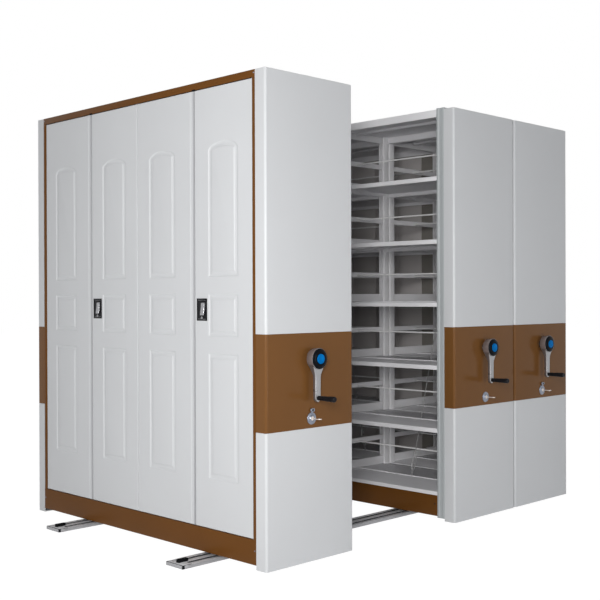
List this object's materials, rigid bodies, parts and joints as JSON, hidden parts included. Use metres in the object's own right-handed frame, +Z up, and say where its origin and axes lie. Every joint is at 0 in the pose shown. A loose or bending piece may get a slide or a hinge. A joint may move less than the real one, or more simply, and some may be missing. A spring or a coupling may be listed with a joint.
{
  "type": "compact mobile shelving",
  "caption": "Rail-mounted mobile shelving: carriages with shelves, end panels and crank drives roll on two floor rails; one carriage has doors.",
  "frame": {"origin": "on the floor, under the centre of the set's bounding box", "axes": "+X along the rails towards the carriage with the closed back, +Y along the carriages away from the cranks, +Z up"},
  "size_m": [2.963, 2.1252, 2.328],
  "materials": {
    "white_coat": "satin",
    "brown_coat": "semi-gloss",
    "zinc": "dull zinc",
    "chrome": "polished",
    "steel": "turned",
    "black_plastic": "satin",
    "blue_plastic": "gloss"
  },
  "bodies": {
    "rails": {"near_rail": "zinc", "far_rail": "zinc"},
    "left_carriage": {"left_base_frame": "brown_coat", "left_upright_frame": "white_coat", "left_shelf_1": "white_coat", "left_shelf_2": "white_coat", "left_shelf_3": "white_coat", "left_shelf_4": "white_coat", "left_shelf_5": "white_coat", "left_end_panel": "white_coat", "left_panel_band": "brown_coat", "left_far_end_panel": "white_coat", "left_drive_chain": "steel"},
    "left_drive_wheelset": {"left_drive_wheelset": "steel"},
    "left_idler_wheelset": {"left_idler_wheelset": "steel"},
    "left_crank": {"left_crank": "chrome"},
    "left_crank_grip": {"left_crank_grip": "black_plastic"},
    "left_crank_button": {"left_crank_button": "blue_plastic"},
    "left_lock_key": {"left_lock_key": "chrome"},
    "middle_carriage": {"middle_base_frame": "brown_coat", "middle_upright_frame": "white_coat", "middle_shelf_1": "white_coat", "middle_shelf_2": "white_coat", "middle_shelf_3": "white_coat", "middle_shelf_4": "white_coat", "middle_shelf_5": "white_coat", "middle_end_panel": "white_coat", "middle_panel_band": "brown_coat", "middle_far_end_panel": "white_coat", "middle_drive_chain": "steel"},
    "middle_drive_wheelset": {"middle_drive_wheelset": "steel"},
    "middle_idler_wheelset": {"middle_idler_wheelset": "steel"},
    "middle_crank": {"middle_crank": "chrome"},
    "middle_crank_grip": {"middle_crank_grip": "black_plastic"},
    "middle_crank_button": {"middle_crank_button": "blue_plastic"},
    "middle_lock_key": {"middle_lock_key": "chrome"},
    "right_carriage": {"right_base_frame": "brown_coat", "right_upright_frame": "white_coat", "right_shelf_1": "white_coat", "right_shelf_2": "white_coat", "right_shelf_3": "white_coat", "right_shelf_4": "white_coat", "right_shelf_5": "white_coat", "right_end_panel": "white_coat", "right_panel_band": "brown_coat", "right_far_end_panel": "white_coat", "right_drive_chain": "steel", "right_back_panel": "white_coat"},
    "right_drive_wheelset": {"right_drive_wheelset": "steel"},
    "right_idler_wheelset": {"right_idler_wheelset": "steel"},
    "right_crank": {"right_crank": "chrome"},
    "right_crank_grip": {"right_crank_grip": "black_plastic"},
    "right_crank_button": {"right_crank_button": "blue_plastic"},
    "right_lock_key": {"right_lock_key": "chrome"},
    "left_door_1": {"left_door_1": "white_coat"},
    "left_door_1_handle": {"left_door_1_handle": "chrome"},
    "left_door_2": {"left_door_2": "white_coat"},
    "left_door_3": {"left_door_3": "white_coat"},
    "left_door_3_handle": {"left_door_3_handle": "chrome"},
    "left_door_4": {"left_door_4": "white_coat"}
  },
  "joints": [
    {"name": "left_travel", "type": "slide", "parent": "rails", "child": "left_carriage", "axis": [1, 0, 0], "range_m": [-0.14, 0.822]},
    {"name": "left_drive_wheelset_roll", "type": "hinge", "parent": "left_carriage", "child": "left_drive_wheelset", "pos_m": [-1.2115, 0.07765, 0.0733], "axis": [0, 1, 0], "continuous": true},
    {"name": "left_idler_wheelset_roll", "type": "hinge", "parent": "left_carriage", "child": "left_idler_wheelset", "pos_m": [-0.8065, 0.07765, 0.0733], "axis": [0, 1, 0], "continuous": true},
    {"name": "left_crank_turn", "type": "hinge", "parent": "left_carriage", "child": "left_crank", "pos_m": [-1.009, -0.90735, 0.984], "axis": [0, 1, 0], "continuous": true},
    {"name": "left_grip_spin", "type": "hinge", "parent": "left_crank", "child": "left_crank_grip", "pos_m": [-1.009, -1.00735, 0.799], "axis": [0, 1, 0], "continuous": true},
    {"name": "left_button_press", "type": "slide", "parent": "left_crank", "child": "left_crank_button", "axis": [0, 1, 0], "range_m": [0, 0.0025], "stiffness_N_per_m": 800},
    {"name": "left_lock_turn", "type": "hinge", "parent": "left_carriage", "child": "left_lock_key", "pos_m": [-1.009, -0.90735, 0.7], "axis": [0, 1, 0], "range_deg": [0, 90]},
    {"name": "middle_travel", "type": "slide", "parent": "rails", "child": "middle_carriage", "axis": [1, 0, 0], "range_m": [-0.822, 0]},
    {"name": "middle_drive_wheelset_roll", "type": "hinge", "parent": "middle_carriage", "child": "middle_drive_wheelset", "pos_m": [0.2095, 0.07765, 0.0733], "axis": [0, 1, 0], "continuous": true},
    {"name": "middle_idler_wheelset_roll", "type": "hinge", "parent": "middle_carriage", "child": "middle_idler_wheelset", "pos_m": [0.6145, 0.07765, 0.0733], "axis": [0, 1, 0], "continuous": true},
    {"name": "middle_crank_turn", "type": "hinge", "parent": "middle_carriage", "child": "middle_crank", "pos_m": [0.412, -0.90735, 0.984], "axis": [0, 1, 0], "continuous": true},
    {"name": "middle_grip_spin", "type": "hinge", "parent": "middle_crank", "child": "middle_crank_grip", "pos_m": [0.412, -1.00735, 0.799], "axis": [0, 1, 0], "continuous": true},
    {"name": "middle_button_press", "type": "slide", "parent": "middle_crank", "child": "middle_crank_button", "axis": [0, 1, 0], "range_m": [0, 0.0025], "stiffness_N_per_m": 800},
    {"name": "middle_lock_turn", "type": "hinge", "parent": "middle_carriage", "child": "middle_lock_key", "pos_m": [0.412, -0.90735, 0.7], "axis": [0, 1, 0], "range_deg": [0, 90]},
    {"name": "right_travel", "type": "slide", "parent": "rails", "child": "right_carriage", "axis": [1, 0, 0], "range_m": [0, 0.14]},
    {"name": "right_drive_wheelset_roll", "type": "hinge", "parent": "right_carriage", "child": "right_drive_wheelset", "pos_m": [0.8065, 0.07765, 0.0733], "axis": [0, 1, 0], "continuous": true},
    {"name": "right_idler_wheelset_roll", "type": "hinge", "parent": "right_carriage", "child": "right_idler_wheelset", "pos_m": [1.2115, 0.07765, 0.0733], "axis": [0, 1, 0], "continuous": true},
    {"name": "right_crank_turn", "type": "hinge", "parent": "right_carriage", "child": "right_crank", "pos_m": [1.009, -0.90735, 0.984], "axis": [0, 1, 0], "continuous": true},
    {"name": "right_grip_spin", "type": "hinge", "parent": "right_crank", "child": "right_crank_grip", "pos_m": [1.009, -1.00735, 0.799], "axis": [0, 1, 0], "continuous": true},
    {"name": "right_button_press", "type": "slide", "parent": "right_crank", "child": "right_crank_button", "axis": [0, 1, 0], "range_m": [0, 0.0025], "stiffness_N_per_m": 800},
    {"name": "right_lock_turn", "type": "hinge", "parent": "right_carriage", "child": "right_lock_key", "pos_m": [1.009, -0.90735, 0.7], "axis": [0, 1, 0], "range_deg": [0, 90]},
    {"name": "left_door_1_swing", "type": "hinge", "parent": "left_carriage", "child": "left_door_1", "pos_m": [-1.2935, -0.81105, 1.2], "axis": [0, 0, 1], "range_deg": [0, 90]},
    {"name": "left_door_1_handle_pull", "type": "hinge", "parent": "left_door_1", "child": "left_door_1_handle", "pos_m": [-1.2975, -0.4764, 1.215], "axis": [0, 0, 1], "range_deg": [0, 35], "stiffness_Nm_per_rad": 0.5},
    {"name": "left_door_2_swing", "type": "hinge", "parent": "left_carriage", "child": "left_door_2", "pos_m": [-1.2935, 0.07165, 1.2], "axis": [0, 0, -1], "range_deg": [0, 85]},
    {"name": "left_door_3_swing", "type": "hinge", "parent": "left_carriage", "child": "left_door_3", "pos_m": [-1.2935, 0.08365, 1.2], "axis": [0, 0, 1], "range_deg": [0, 85]},
    {"name": "left_door_3_handle_pull", "type": "hinge", "parent": "left_door_3", "child": "left_door_3_handle", "pos_m": [-1.2975, 0.4183, 1.215], "axis": [0, 0, 1], "range_deg": [0, 35], "stiffness_Nm_per_rad": 0.5},
    {"name": "left_door_4_swing", "type": "hinge", "parent": "left_carriage", "child": "left_door_4", "pos_m": [-1.2935, 0.96635, 1.2], "axis": [0, 0, -1], "range_deg": [0, 90]}
  ],
  "couplings": [
    {"joint": "left_drive_wheelset_roll", "follows": "left_travel", "rad_per_m": 18.182},
    {"joint": "left_idler_wheelset_roll", "follows": "left_travel", "rad_per_m": 18.182},
    {"joint": "left_crank_turn", "follows": "left_travel", "rad_per_m": 13.636},
    {"joint": "middle_drive_wheelset_roll", "follows": "middle_travel", "rad_per_m": 18.182},
    {"joint": "middle_idler_wheelset_roll", "follows": "middle_travel", "rad_per_m": 18.182},
    {"joint": "middle_crank_turn", "follows": "middle_travel", "rad_per_m": 13.636},
    {"joint": "right_drive_wheelset_roll", "follows": "right_travel", "rad_per_m": 18.182},
    {"joint": "right_idler_wheelset_roll", "follows": "right_travel", "rad_per_m": 18.182},
    {"joint": "right_crank_turn", "follows": "right_travel", "rad_per_m": 13.636}
  ]
}
